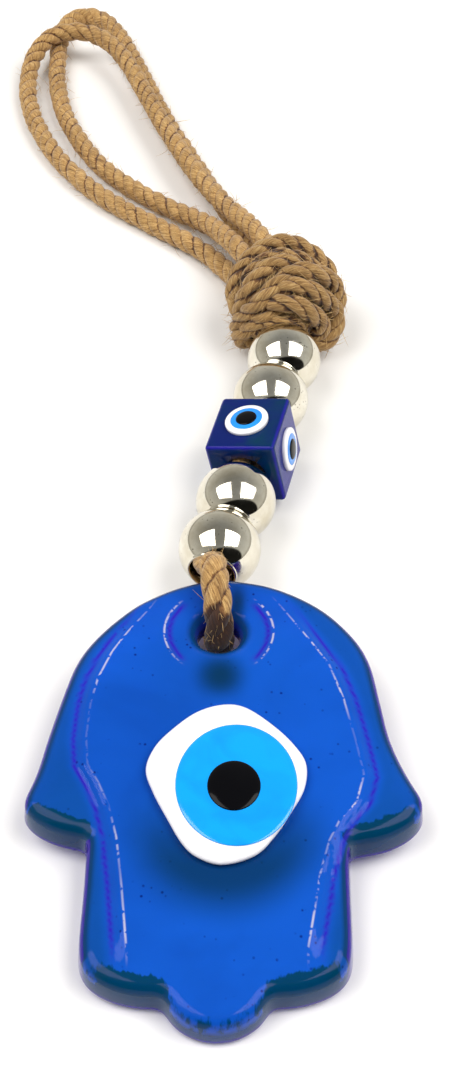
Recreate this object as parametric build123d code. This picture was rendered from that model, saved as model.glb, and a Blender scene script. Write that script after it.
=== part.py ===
"""Evil eye ornament: a flat glass hand with a glass eye, hung on a jute rope that carries four
silver beads and a square glass bead, with a big knot and a double hanging loop above them.

Millimetres, +Z up. The ornament lies on its back on a surface at z = 0, with +Y from the
fingertips towards the hanging loops. The origin is on that surface, under the middle of the box
around the ornament without its loops.
"""
import os
from math import cos, pi, radians, sin, sqrt, tan

from build123d import *

# ---------------------------------------------------------------- driving dimensions
ORNAMENT_LENGTH = 235.0      # fingertips to the top of the knot
BEAD_DIAMETER = 20.0
ROPE_DIAMETER = 6.0          # jute rope where nothing squeezes it
JOINT_GAP = 0.35             # between pieces that turn past each other

# glass hand
HAND_LENGTH = 110.4
HAND_THICKNESS = 9.0
HAND_TILT = 3.9              # the rope under the web lifts the top of the hand, degrees
HAND_X = -1.2                # the hand's centreline; its right thumb is the longer one
HAND_EDGE_ROUND = 3.2
BACK_EDGE_ROUND = 2.5
PALM_HALF_WIDTH = 27.7
FINGER_NOTCH = (11.0, 6.9)   # where the middle fingertip meets the outer two
THUMB_TIP_Y = 51.0
# per side: direction, thumb reach, height of the thumb's notch, shoulder and upper-arc half widths
LEFT = (-1, 41.6, 41.4, 19.8, 32.4)
RIGHT = (1, 43.9, 39.8, 23.2, 34.6)
SHOULDER_Y = 102.0
UPPER_ARC_Y = 87.3
WAIST = (37.8, 66.0)
PLATEAU_HEIGHT = 1.0         # raised palm inside the moulded ridge
PLATEAU_ROUND = 0.8

# hanging hole
HOLE_Y = 93.2
HOLE_RADIUS = 5.4
HOLE_ROUND = 3.2
HOLE_BACK_ROUND = 2.8

# eye on the palm
EYE_CENTRE = (1.8, 52.1)
EYE_HALF_DIAGONALS = (20.2, 26.5)    # of the lozenge before its corners are rounded, across and along
EYE_CORNER_RADIUS = 11.0
EYE_THICKNESS = 2.4
IRIS_CENTRE = (3.9, 51.5)
IRIS_RADII = (12.8, 14.6)    # the poured glass is a little longer than wide
IRIS_THICKNESS = 0.7
PUPIL_CENTRE = (3.4, 50.8)
PUPIL_RADII = (5.6, 6.0)
PUPIL_THICKNESS = 0.8

# string of beads
BEAD_LENGTH = 16.5           # along the hole, which sets the hole's radius
BEAD_RIM_CHAMFER = 0.25
LOWEST_BEAD = (-1.2, 4.0, 11.7)
STRING_YAW = 13.45           # the string leans to the right of the hand's centreline, degrees
STRING_DIP = -1.1            # and down a little, as the knot's end lies lower
BEAD_PITCH = BEAD_LENGTH + JOINT_GAP
CUBE_LENGTH = 20.0
CUBE_WIDTH = 18.2
CUBE_EDGE_ROUND = 1.2
CUBE_GAP = 1.7               # slack beside the cube
CUBE_ROLL = 12.0             # the cube lies rolled about the string, degrees
CUBE_EYE_LAYERS = {"white": (5.6, 0.7), "blue": (4.1, 0.3), "pupil": (2.3, 0.4)}  # radius, thickness
CUBE_EYE_SIDES = {"top": 0, "right": 90, "bottom": 180, "left": 270}  # turn about the string, degrees

# rope through the beads, and round the hand's web
STRAND_RADIUS = 2.4          # two strands squeezed side by side in the beads' holes
STRAND_OFFSET = STRAND_RADIUS + 0.1
STRAND_ROLL = 35.0           # how far the pair is rolled from one above the other
WEB_CENTRE = (-0.93, 104.6, 4.3)
WEB_LOOP_RADIUS = 9.05
WEB_LOOP_LEAN = 6.0          # towards the first bead's mouth, degrees
WEB_LOOP_OPENING = 36.0      # half the opening that faces the bead, degrees

# knot
KNOT_CENTRE = (15.8, 100.4, 15.4)
KNOT_HALF_LENGTH = 17.0
KNOT_RADIUS = 15.3
KNOT_SEAT_GAP = 0.4

# hanging loops: routes chosen by hand, fingertip-to-loop direction +Y, from knot to knot
OUTER_LOOP_ROUTE = [
    (12.5, 111.5, 8.0), (9.0, 127.0, 7.6), (2.0, 149.0, 4.2), (-9.5, 177.5, 3.1), (-21.5, 208.5, 3.1),
    (-30.5, 238.0, 3.1), (-36.8, 257.0, 3.1), (-43.0, 270.5, 3.1), (-50.0, 274.6, 3.1),
    (-56.2, 271.6, 3.1), (-59.0, 262.5, 3.1), (-59.2, 246.0, 3.1), (-57.8, 224.0, 3.1),
    (-52.0, 201.0, 3.1), (-39.5, 176.0, 3.1), (-20.5, 157.5, 3.3), (-6.5, 144.0, 6.6),
    (0.5, 129.5, 11.6), (5.0, 117.5, 14.2), (9.0, 108.5, 15.2),
]
INNER_LOOP_ROUTE = [
    (14.5, 112.0, 16.8), (9.5, 126.5, 16.0), (-1.5, 148.0, 10.6), (-13.6, 176.0, 8.4), (-24.5, 205.5, 8.4),
    (-34.0, 233.5, 9.0), (-42.5, 247.3, 9.8), (-52.0, 251.8, 10.0), (-61.5, 249.2, 9.6),
    (-67.0, 241.5, 6.4), (-68.2, 230.0, 3.4), (-66.6, 214.5, 3.1), (-61.0, 196.5, 3.1),
    (-51.0, 177.0, 3.1), (-37.0, 159.5, 3.1), (-20.0, 145.5, 3.1), (-6.5, 133.5, 3.6),
    (1.5, 121.0, 4.6), (6.2, 112.0, 5.4), (10.5, 104.5, 7.5),
]

# ---------------------------------------------------------------- derived sizes and frames
BEAD_RADIUS = BEAD_DIAMETER / 2
BEAD_HOLE_RADIUS = sqrt(BEAD_RADIUS**2 - (BEAD_LENGTH / 2) ** 2)
FINGERTIP_Y = -ORNAMENT_LENGTH / 2
ROPE_RADIUS = ROPE_DIAMETER / 2

TILT = radians(HAND_TILT)
HAND_NORMAL = (0, -sin(TILT), cos(TILT))
HAND_PLANE = Plane(origin=(HAND_X, FINGERTIP_Y, 0), x_dir=(1, 0, 0), z_dir=HAND_NORMAL)

YAW, DIP = radians(STRING_YAW), radians(STRING_DIP)
STRING_DIRECTION = Vector(sin(YAW) * cos(DIP), cos(YAW) * cos(DIP), sin(DIP))
STRING_SIDE = Vector(cos(YAW), -sin(YAW), 0)
CUBE_STEP = BEAD_LENGTH / 2 + CUBE_GAP + CUBE_LENGTH / 2
# distances along the string from the lowest bead's centre
BEAD_PLACES = [0, BEAD_PITCH, BEAD_PITCH + 2 * CUBE_STEP, 2 * BEAD_PITCH + 2 * CUBE_STEP]
CUBE_PLACE = BEAD_PITCH + CUBE_STEP


def string_plane(place, roll=0.0):
    """A plane across the string at that distance: its normal runs along the string and its y points
    up. A roll lifts what lies on the string's right."""
    origin = Vector(*LOWEST_BEAD) + STRING_DIRECTION * place
    turn = radians(roll)
    up = STRING_SIDE.cross(STRING_DIRECTION)
    left = -STRING_SIDE * cos(turn) - up * sin(turn)
    return Plane(origin=origin, x_dir=left, z_dir=STRING_DIRECTION)


# ---------------------------------------------------------------- glass hand and its eye
def half_outline(side, thumb_reach, notch_y, shoulder, upper_arc):
    """From the top of the hand down to the middle fingertip's notch, on one side."""
    arch = Spline(
        (0, HAND_LENGTH), (side * shoulder, SHOULDER_Y), (side * upper_arc, UPPER_ARC_Y),
        (side * WAIST[0], WAIST[1]), (side * thumb_reach, THUMB_TIP_Y),
        tangents=((side, 0), (side * 0.05, -1)),
    )
    thumb = Spline(
        (side * thumb_reach, THUMB_TIP_Y), (side * (thumb_reach - 3.8), 45.4),
        (side * PALM_HALF_WIDTH, notch_y),
        tangents=((side * 0.05, -1), (-side, -0.1)),
    )
    edge = Line((side * PALM_HALF_WIDTH, notch_y), (side * PALM_HALF_WIDTH, 17.5))
    corner = Spline(
        (side * PALM_HALF_WIDTH, 17.5), (side * 24.0, 9.9), (side * 16.5, 7.0),
        tangents=((0, -1), (-side, 0)),
    )
    fingertips = Line((side * 16.5, 7.0), (side * FINGER_NOTCH[0], FINGER_NOTCH[1]))
    return [arch, thumb, edge, corner, fingertips]


def hand_face():
    """The hand's flat outline."""
    across, up = FINGER_NOTCH
    middle_tip = ThreePointArc((-across, up), (0, 0), (across, up))
    return make_face(Curve() + half_outline(*LEFT) + half_outline(*RIGHT) + middle_tip)


def plateau_face():
    """The raised palm: a shield between the two moulded ridges, open towards the fingertips."""
    right = [(6.0, 79.0), (20.0, 88.0), (27.6, 76.0), (29.8, 57.0), (23.5, 42.0), (18.5, 17.0)]
    left = [(-x, y) for x, y in reversed(right)]
    points = right + [(0, 13.0)] + left
    return make_face(Spline(*points, periodic=True))


def hole_mouths(plate):
    """The hanging hole's sharp circular edges, from the back to the front."""
    circles = plate.edges().filter_by(GeomType.CIRCLE)
    return circles.filter_by(lambda edge: abs(edge.radius - HOLE_RADIUS) < 0.01).sort_by(Axis.Z)


def glass_hand():
    """The moulded glass plate, with soft front edges, a rounded hanging hole and a raised palm."""
    plate = extrude(hand_face(), HAND_THICKNESS)
    plate = fillet(plate.faces().sort_by(Axis.Z)[-1].edges(), HAND_EDGE_ROUND)
    plate = fillet(plate.faces().sort_by(Axis.Z)[0].edges(), BACK_EDGE_ROUND)
    plate -= Pos(0, HOLE_Y, HAND_THICKNESS / 2) * Cylinder(HOLE_RADIUS, 3 * HAND_THICKNESS)
    plate = fillet(hole_mouths(plate)[-1], HOLE_ROUND)
    plate = fillet(hole_mouths(plate)[0], HOLE_BACK_ROUND)
    palm = Pos(0, 0, HAND_THICKNESS - 1) * extrude(plateau_face(), PLATEAU_HEIGHT + 1)
    palm = fillet(palm.faces().sort_by(Axis.Z)[-1].edges(), PLATEAU_ROUND)
    return plate + palm


def palm_disc(face, centre, bottom, thickness, rounding):
    """One layer of the eye: a flat disc of any outline on the palm, with a rounded top edge."""
    disc = Pos(centre[0], centre[1], bottom) * extrude(face, thickness)
    return fillet(disc.faces().sort_by(Axis.Z)[-1].edges(), rounding)


def hand_eye():
    """The three fused glass layers of the palm's eye, each lying on the one below."""
    across, along = EYE_HALF_DIAGONALS
    lozenge = make_face(Polyline((across, 0), (0, along), (-across, 0), (0, -along), close=True))
    lozenge = fillet(lozenge.vertices(), EYE_CORNER_RADIUS)
    white_bottom = HAND_THICKNESS + PLATEAU_HEIGHT
    iris_bottom = white_bottom + EYE_THICKNESS
    pupil_bottom = iris_bottom + IRIS_THICKNESS
    return {
        "eye_white": palm_disc(lozenge, EYE_CENTRE, white_bottom, EYE_THICKNESS, 1.6),
        "eye_iris": palm_disc(Ellipse(*IRIS_RADII), IRIS_CENTRE, iris_bottom, IRIS_THICKNESS, 0.5),
        "eye_pupil": palm_disc(Ellipse(*PUPIL_RADII), PUPIL_CENTRE, pupil_bottom, PUPIL_THICKNESS, 0.6),
    }


# ---------------------------------------------------------------- beads
def silver_bead():
    """A ball with a wide hole along its Z axis."""
    ball = Sphere(BEAD_RADIUS) - Cylinder(BEAD_HOLE_RADIUS, 3 * BEAD_RADIUS)
    rims = ball.edges().filter_by(GeomType.CIRCLE)
    return chamfer(rims, BEAD_RIM_CHAMFER)


def cube_bead():
    """The square glass bead, its hole along Z."""
    cube = fillet(Box(CUBE_WIDTH, CUBE_WIDTH, CUBE_LENGTH).edges(), CUBE_EDGE_ROUND)
    return cube - Cylinder(BEAD_HOLE_RADIUS, 2 * CUBE_LENGTH)


def cube_eye_layers():
    """Each layer of one glass eye on the cube's +Y side, by name: flat discs on one another."""
    layers, bottom = {}, CUBE_WIDTH / 2
    for name, (radius, thickness) in CUBE_EYE_LAYERS.items():
        disc = fillet(Cylinder(radius, thickness).faces().sort_by(Axis.Z)[-1].edges(), 0.6 * thickness)
        layers[name] = Pos(0, bottom + thickness / 2, 0) * Rot(-90, 0, 0) * disc
        bottom += thickness
    return layers


# ---------------------------------------------------------------- rope
def hand_loop():
    """The rope's bight: through the hanging hole and round the web of glass above it."""
    lean = radians(WEB_LOOP_LEAN)
    along = Vector(-sin(lean), cos(lean), 0)
    ring_in_hand = Plane(origin=WEB_CENTRE, x_dir=along, z_dir=along.cross(Vector(0, 0, 1)))
    ring_plane = Plane(HAND_PLANE.location * ring_in_hand.location)
    path = ring_plane * CenterArc((0, 0), WEB_LOOP_RADIUS, WEB_LOOP_OPENING, 360 - 2 * WEB_LOOP_OPENING)
    section = Plane(origin=path @ 0, z_dir=path % 0) * Circle(STRAND_RADIUS)
    return sweep(section, path=path)


def knot():
    """The knot's outer shape: an egg round the string, hollowed where the top bead nests in it."""
    right_half = Pos(KNOT_RADIUS, 0) * Rectangle(2 * KNOT_RADIUS, 3 * KNOT_HALF_LENGTH)
    egg = revolve(Ellipse(KNOT_RADIUS, KNOT_HALF_LENGTH) & right_half, Axis.Y)
    seat = Pos(string_plane(BEAD_PLACES[-1]).origin) * Sphere(BEAD_RADIUS + KNOT_SEAT_GAP)
    return Pos(*KNOT_CENTRE) * Rot(0, 0, -STRING_YAW / 2) * egg - seat


def bead_strand(side, knot_solid):
    """One of the two strands that run through the beads up into the knot."""
    start = string_plane(-BEAD_LENGTH / 2 + JOINT_GAP, STRAND_ROLL)
    length = BEAD_PLACES[-1] + BEAD_RADIUS + 4.0 + BEAD_LENGTH / 2
    strand = start * Pos(0, side * STRAND_OFFSET, 0) * Cylinder(
        STRAND_RADIUS, length, align=(Align.CENTER, Align.CENTER, Align.MIN)
    )
    return strand - knot_solid


def rope_along(name, route, radius):
    """A rope on straight runs joined by tangent arcs, each as large as its two runs allow."""
    points = [Vector(*p) for p in route]
    radii = []
    for before, here, after in zip(points, points[1:], points[2:]):
        incoming, outgoing = here - before, after - here
        half_turn = radians(incoming.get_angle(outgoing)) / 2
        radii.append(0.45 * min(incoming.length, outgoing.length) / tan(half_turn))
    path = FilletPolyline(*points, radius=radii)
    section = Plane(origin=path @ 0, z_dir=path % 0) * Circle(radius)
    tube = sweep(section, path=path)
    print(name, "length", round(path.length, 1), "radii", [round(r, 1) for r in radii])
    print(name, "volume over section times length", round(tube.volume / (pi * radius**2 * path.length), 4))
    return tube


# ---------------------------------------------------------------- the assembly
def build_nodes():
    """Every piece by name, in its place."""
    nodes = {"glass_hand": HAND_PLANE * glass_hand()}
    for name, layer in hand_eye().items():
        nodes[name] = HAND_PLANE * layer
    for number, place in enumerate(BEAD_PLACES, 1):
        nodes[f"silver_bead_{number}"] = string_plane(place) * silver_bead()
    cube_plane = string_plane(CUBE_PLACE, CUBE_ROLL)
    nodes["cube_bead"] = cube_plane * cube_bead()
    for side, turn in CUBE_EYE_SIDES.items():
        for layer, disc in cube_eye_layers().items():
            nodes[f"cube_eye_{side}_{layer}"] = cube_plane * Rot(0, 0, turn) * disc
    nodes["hand_loop"] = hand_loop()
    nodes["knot"] = knot()
    nodes["bead_strand_front"] = bead_strand(1, nodes["knot"])
    nodes["bead_strand_back"] = bead_strand(-1, nodes["knot"])
    nodes["hanging_loop_outer"] = rope_along("outer loop", OUTER_LOOP_ROUTE, ROPE_RADIUS) - nodes["knot"]
    nodes["hanging_loop_inner"] = rope_along("inner loop", INNER_LOOP_ROUTE, ROPE_RADIUS) - nodes["knot"]
    return nodes


def print_joint_places():
    """Where the joints' axes lie, for whoever assembles the pieces."""
    print("hand swing pivot", HAND_PLANE.from_local_coords(Vector(*WEB_CENTRE)))
    print("sway pivot", string_plane(-BEAD_LENGTH / 2 - 0.7).origin, "normal", HAND_NORMAL)
    print("string direction", STRING_DIRECTION)
    print("lowest and highest bead", string_plane(0).origin, string_plane(BEAD_PLACES[-1]).origin)


os.makedirs("parts", exist_ok=True)
for node_name, solid in build_nodes().items():
    export_step(solid, f"parts/{node_name}.step")
print_joint_places()
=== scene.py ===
"""Looks of the evil eye ornament: laid jute rope, moulded blue glass, fused glass eyes and silver
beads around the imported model. Metres, in the model's own frame."""
from math import atan2, cos, pi, radians, sin, sqrt

import bmesh
import bpy
import numpy as np
from mathutils import Matrix, Vector
from mathutils.geometry import delaunay_2d_cdt


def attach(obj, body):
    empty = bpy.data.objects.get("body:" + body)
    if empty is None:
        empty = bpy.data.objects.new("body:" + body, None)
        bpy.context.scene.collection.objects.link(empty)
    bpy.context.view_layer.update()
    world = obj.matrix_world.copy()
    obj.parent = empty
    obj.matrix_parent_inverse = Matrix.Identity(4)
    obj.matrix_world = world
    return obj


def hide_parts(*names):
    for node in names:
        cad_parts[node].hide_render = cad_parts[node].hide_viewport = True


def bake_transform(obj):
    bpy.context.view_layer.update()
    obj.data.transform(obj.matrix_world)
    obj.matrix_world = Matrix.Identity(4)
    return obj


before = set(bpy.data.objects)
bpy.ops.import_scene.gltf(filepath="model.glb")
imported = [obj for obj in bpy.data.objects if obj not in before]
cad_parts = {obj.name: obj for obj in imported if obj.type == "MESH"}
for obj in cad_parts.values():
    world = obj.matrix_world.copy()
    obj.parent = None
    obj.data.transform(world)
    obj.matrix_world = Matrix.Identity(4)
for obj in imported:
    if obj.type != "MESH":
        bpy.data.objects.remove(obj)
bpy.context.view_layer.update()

MM = 0.001
rng = np.random.default_rng(7)

# ---------------------------------------------------------------- sizes taken over from the design
HAND_ORIGIN = np.array([-1.2, -117.5, 0.0]) * MM
HAND_TILT = radians(3.9)
HAND_AXES = np.array([[1, 0, 0], [0, cos(HAND_TILT), sin(HAND_TILT)], [0, -sin(HAND_TILT), cos(HAND_TILT)]])
WEB_CENTRE = np.array([-0.93, 104.6, 4.3]) * MM
WEB_LEAN = radians(6.0)

BEAD_RADIUS = 10.0 * MM
LOWEST_BEAD = np.array([-1.2, 4.0, 11.7]) * MM
STRING_DIRECTION = np.array([0.232554, 0.972394, -0.019197])
STRING_SIDE = np.array([0.972573, -0.232598, 0.0])
STRING_UP = np.cross(STRING_SIDE, STRING_DIRECTION)
BEAD_PLACES = np.array([0, 16.85, 56.75, 73.6]) * MM
CUBE_PLACE = 36.8 * MM
CUBE_WIDTH = 18.2 * MM
CUBE_ROLL = radians(12.0)
STRAND_ROLL = radians(35.0)
STRAND_RADIUS = 2.4 * MM
STRAND_SPREAD = 2.5 * MM       # from the string's line to each strand's own

KNOT_YAW = radians(13.45 / 2)

ROPE_DIAMETER = 6.0 * MM
WEB_ROPE_RADIUS = 2.85 * MM
FLOOR_GAP = 0.05 * MM
# a ply's radius and its distance from the rope's middle, as shares of the rope's radius
CLOSE_LAY = (0.72, 0.29)
OPEN_LAY = (0.63, 0.38)
# the length in which a ply goes once round the rope
PITCH = {"loop": 14.5 * MM, "strand": 12 * MM, "web": 19 * MM, "knot": 15.5 * MM}

# the two hanging loops, knot to knot
OUTER_LOOP_ROUTE = [
    (0.0125, 0.1115, 0.0080), (0.0090, 0.1270, 0.0076), (0.0020, 0.1490, 0.0042),
    (-0.0095, 0.1775, 0.0031), (-0.0215, 0.2085, 0.0031), (-0.0305, 0.2380, 0.0031),
    (-0.0368, 0.2570, 0.0031), (-0.0430, 0.2705, 0.0031), (-0.0500, 0.2746, 0.0031),
    (-0.0562, 0.2716, 0.0031), (-0.0590, 0.2625, 0.0031), (-0.0592, 0.2460, 0.0031),
    (-0.0578, 0.2240, 0.0031), (-0.0520, 0.2010, 0.0031), (-0.0395, 0.1760, 0.0031),
    (-0.0205, 0.1575, 0.0033), (-0.0065, 0.1440, 0.0066), (0.0005, 0.1295, 0.0116),
    (0.0050, 0.1175, 0.0142), (0.0090, 0.1085, 0.0152),
]
INNER_LOOP_ROUTE = [
    (0.0145, 0.1120, 0.0168), (0.0095, 0.1265, 0.0160), (-0.0015, 0.1480, 0.0106),
    (-0.0136, 0.1760, 0.0084), (-0.0245, 0.2055, 0.0084), (-0.0340, 0.2335, 0.0090),
    (-0.0425, 0.2473, 0.0098), (-0.0520, 0.2518, 0.0100), (-0.0615, 0.2492, 0.0096),
    (-0.0670, 0.2415, 0.0064), (-0.0682, 0.2300, 0.0034), (-0.0666, 0.2145, 0.0031),
    (-0.0610, 0.1965, 0.0031), (-0.0510, 0.1770, 0.0031), (-0.0370, 0.1595, 0.0031),
    (-0.0200, 0.1455, 0.0031), (-0.0065, 0.1335, 0.0036), (0.0015, 0.1210, 0.0046),
    (0.0062, 0.1120, 0.0054), (0.0105, 0.1045, 0.0075),
]


# ---------------------------------------------------------------- mesh helpers
def mesh_piece(name, vertices, faces, material, smooth=True, attributes=None):
    """A mesh object in the scene, with float-vector attributes on its points by name."""
    mesh = bpy.data.meshes.new(name)
    mesh.from_pydata([tuple(v) for v in vertices], [], [tuple(f) for f in faces])
    mesh.validate()
    for key, values in (attributes or {}).items():
        layer = mesh.attributes.new(key, "FLOAT_VECTOR", "POINT")
        layer.data.foreach_set("vector", np.asarray(values, dtype=np.float32).ravel())
    mesh.materials.append(material)
    mesh.polygons.foreach_set("use_smooth", [smooth] * len(mesh.polygons))
    mesh.update()
    piece = bpy.data.objects.new(name, mesh)
    bpy.context.scene.collection.objects.link(piece)
    return piece


def band(here, there, count):
    """The faces between two rings of count points, which start at those two numbers."""
    return [(here + k, here + (k + 1) % count, there + (k + 1) % count, there + k) for k in range(count)]


def spline_points(route):
    """Points along the smooth NURBS line that has the route as its control points."""
    curve = bpy.data.curves.new("route", "CURVE")
    curve.dimensions = "3D"
    curve.resolution_u = 24
    spline = curve.splines.new("NURBS")
    spline.points.add(len(route) - 1)
    for point, place in zip(spline.points, route):
        point.co = (*place, 1)
    spline.order_u = 3
    spline.use_endpoint_u = True
    holder = bpy.data.objects.new("route", curve)
    line = bpy.data.meshes.new_from_object(holder)
    points = np.array([v.co[:] for v in line.vertices])
    bpy.data.objects.remove(holder)
    bpy.data.curves.remove(curve)
    bpy.data.meshes.remove(line)
    return points


def through(points, closed=False, per_span=10):
    """A smooth line that passes through the points."""
    points = np.asarray(points, dtype=float)
    if closed:
        points = np.vstack([points[-1], points, points[:2]])
    else:
        points = np.vstack([2 * points[0] - points[1], points, 2 * points[-1] - points[-2]])
    line = []
    for a, b, c, d in zip(points, points[1:], points[2:], points[3:]):
        for t in np.arange(per_span) / per_span:
            curved = (2 * a - 5 * b + 4 * c - d) * t**2 + (3 * b - a - 3 * c + d) * t**3
            line.append(0.5 * (2 * b + (c - a) * t + curved))
    if not closed:
        line.append(points[-2])
    return np.array(line)


def evenly(points, step, closed=False):
    """The same line with points a step apart."""
    if closed:
        points = np.vstack([points, points[:1]])
    distance = np.concatenate([[0], np.cumsum(np.linalg.norm(np.diff(points, axis=0), axis=1))])
    count = max(4, int(round(distance[-1] / step)))
    places = np.linspace(0, distance[-1], count + 1)
    if closed:
        places = places[:-1]
    return np.stack([np.interp(places, distance, points[:, k]) for k in range(3)], axis=1)


def unit(vectors):
    return vectors / np.maximum(np.linalg.norm(vectors, axis=-1, keepdims=True), 1e-12)


def frames_along(points, closed=False):
    """Tangents and two sideways directions that don't twist along the line."""
    if closed:
        tangents = unit(np.roll(points, -1, axis=0) - np.roll(points, 1, axis=0))
    else:
        tangents = unit(np.gradient(points, axis=0))
    side = unit(np.cross(tangents[0], [0.31, 0.17, 0.93]))
    sides = [side]
    for tangent in tangents[1:]:
        side = unit(side - tangent * np.dot(side, tangent))
        sides.append(side)
    sides = np.array(sides)
    if closed:  # spread the leftover turn over the ring
        last = unit(sides[-1] - tangents[0] * np.dot(sides[-1], tangents[0]))
        leftover = atan2(np.dot(np.cross(sides[0], last), tangents[0]), np.dot(sides[0], last))
        turns = -leftover * np.linspace(0, 1, len(points), endpoint=False)[:, None]
        sides = sides * np.cos(turns) + np.cross(tangents, sides) * np.sin(turns)
    return tangents, sides, np.cross(tangents, sides)


# ---------------------------------------------------------------- rope
def laid_rope(points, radius, pitch, closed=False, phase=0.0, lay=CLOSE_LAY, stretch=None):
    """Three twisted plies round a line. Returns vertices, faces, the fibre coordinates (how far along,
    and where round the twisted ply, so that a material can draw fibres that run along it), and how far
    each point is from the rope's middle: 1 at the outside, 0.7 in a groove. stretch is a direction in
    which the rope is wider, and by how much."""
    plies, sides, yarn_turns = 3, 14, 0.85
    points = evenly(points, 0.55 * MM, closed)
    _, across, upward = frames_along(points, closed)
    count = len(points)
    total = np.linalg.norm(np.diff(points, axis=0), axis=1).sum()
    travel = np.linspace(0, total, count)
    turns = total / pitch
    if closed:  # the plies of a closed ring meet each other
        turns = max(1, round(turns * plies)) / plies
    twist = 2 * pi * turns * np.linspace(0, 1, count, endpoint=not closed)
    if not closed:  # hand-laid rope is twisted unevenly
        twist = twist + 0.45 * smooth_noise(travel, 16 * MM)
    ply_share, offset_share = lay
    ply_radius = ply_share * radius
    groove_reach = offset_share / 2 + sqrt(ply_share**2 - 0.75 * offset_share**2)
    around = 2 * pi * np.arange(sides) / sides
    vertices, faces, fibres, grooves = [], [], [], []
    for ply in range(plies):
        wobble = 1 + 0.075 * smooth_noise(travel, 3.5 * MM)
        angle = phase + twist + 2 * pi * ply / plies
        sideways = np.cos(angle)[:, None] * across + np.sin(angle)[:, None] * upward
        centre = points + offset_share * radius * sideways
        for ring in range(count):
            offset = np.outer(np.cos(around), across[ring]) + np.outer(np.sin(around), upward[ring])
            vertices.append(centre[ring] + ply_radius * wobble[ring] * offset)
            reach = np.linalg.norm(vertices[-1] - points[ring], axis=1) / radius
            reach = 0.7 + 0.3 * (reach - groove_reach) / (1 - groove_reach)
            grooves.append(np.column_stack([reach, reach, reach]))
            yarn = around + yarn_turns * angle[ring]
            along = np.full(sides, travel[ring] + 0.7 * ply)
            fibres.append(np.column_stack([along, ply_radius * np.cos(yarn), ply_radius * np.sin(yarn)]))
    vertices = np.concatenate(vertices)
    for ply in range(plies):
        first = ply * count * sides
        last = first + (count - 1) * sides
        for ring in range(count - 1):
            faces += band(first + ring * sides, first + (ring + 1) * sides, sides)
        if closed:  # this ply goes on into another one, or itself, round the ring
            faces += band(last, (ply + round(turns * plies)) % plies * count * sides, sides)
        else:
            faces.append(tuple(first + k for k in reversed(range(sides))))
            faces.append(tuple(last + k for k in range(sides)))
    if stretch:
        axis, factor = stretch
        offset = vertices - np.tile(np.repeat(points, sides, axis=0), (plies, 1))
        vertices = vertices + (factor - 1) * (offset @ axis)[:, None] * axis
    return vertices, faces, np.concatenate(fibres), np.concatenate(grooves)


def smooth_noise(travel, wavelength):
    """Random values from -1 to 1 that change smoothly over the wavelength."""
    knots = int(travel[-1] / wavelength) + 3
    values = rng.uniform(-1, 1, knots)
    return np.interp(travel / wavelength, np.arange(knots), values)


def loose_fibres(points, radius, count, longest):
    """Thin closed hairs that stand off a rope's surface. Returns vertices and faces."""
    points = evenly(points, 0.5 * MM)
    tangents, across, upward = frames_along(points)
    rings = 6
    vertices, faces = [], []
    for _ in range(count):
        place = rng.integers(2, len(points) - 2)
        angle = rng.uniform(0, 2 * pi)
        outward = cos(angle) * across[place] + sin(angle) * upward[place]
        lean = tangents[place] * rng.choice([-1, 1]) * rng.uniform(0.6, 2.2)
        lean = unit(lean + outward * rng.uniform(0.35, 1.2))
        curl = unit(rng.normal(size=3)) * rng.uniform(0.2, 0.9)
        length = rng.uniform(0.3, 1.0) ** 2 * longest + 0.8 * MM
        root = points[place] + outward * radius * 0.86
        steps = np.linspace(0, 1, rings)
        spine = root + length * (np.outer(steps, lean) + np.outer(steps**2 * 0.5, curl))
        spine[:, 2] = np.maximum(spine[:, 2], 0.12 * MM)
        thickness = rng.uniform(0.045, 0.085) * MM * np.array([1, 1, 0.95, 0.8, 0.6, 0.25])
        _, first, second = frames_along(spine)
        base = len(vertices)
        for ring in range(rings):
            for turn in (0, 2 * pi / 3, 4 * pi / 3):
                offset = cos(turn) * first[ring] + sin(turn) * second[ring]
                vertices.append(spine[ring] + thickness[ring] * offset)
        for ring in range(rings - 1):
            faces += band(base + 3 * ring, base + 3 * ring + 3, 3)
        tip = base + 3 * (rings - 1)
        faces += [(base + 2, base + 1, base), (tip, tip + 1, tip + 2)]
    return np.array(vertices), faces


def on_floor(vertices):
    """Rope pressed flat where it would go through the floor."""
    vertices[:, 2] = np.maximum(vertices[:, 2], FLOOR_GAP)
    return vertices


# ---------------------------------------------------------------- materials
def new_material(name):
    material = bpy.data.materials.new(name)
    material.use_nodes = True
    nodes = material.node_tree.nodes
    return material, nodes, material.node_tree.links, nodes["Principled BSDF"]


def set_inputs(node, values):
    for socket, value in values.items():
        node.inputs[socket].default_value = value


def add_noise(nodes, links, vector, scale, detail=3.0, roughness=0.55, distortion=0.0):
    texture = nodes.new("ShaderNodeTexNoise")
    set_inputs(texture, {"Scale": scale, "Detail": detail, "Roughness": roughness, "Distortion": distortion})
    links.new(vector, texture.inputs["Vector"])
    return texture.outputs["Fac"]


def add_ramp(nodes, links, value, stops):
    """A colour ramp. A stop is a position and a colour, or one number for a grey."""
    stops = [(place, (*colour, 1) if isinstance(colour, tuple) else (colour, colour, colour, 1))
             for place, colour in stops]
    ramp = nodes.new("ShaderNodeValToRGB")
    first, last = ramp.color_ramp.elements
    first.position, first.color = stops[0]
    last.position, last.color = stops[-1]
    for position, colour in stops[1:-1]:
        ramp.color_ramp.elements.new(position).color = colour
    links.new(value, ramp.inputs["Fac"])
    return ramp.outputs["Color"]


def add_mix(nodes, links, factor, first, second, blend="MIX"):
    mix = nodes.new("ShaderNodeMix")
    mix.data_type = "RGBA"
    mix.blend_type = blend
    for name, value in (("Factor", factor), ("A", first), ("B", second)):
        socket = mix.inputs[name]
        if hasattr(value, "links"):
            links.new(value, socket)
        elif socket.type == "RGBA":
            socket.default_value = (*value, 1)
        else:
            socket.default_value = value
    return mix.outputs["Result"]


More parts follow.
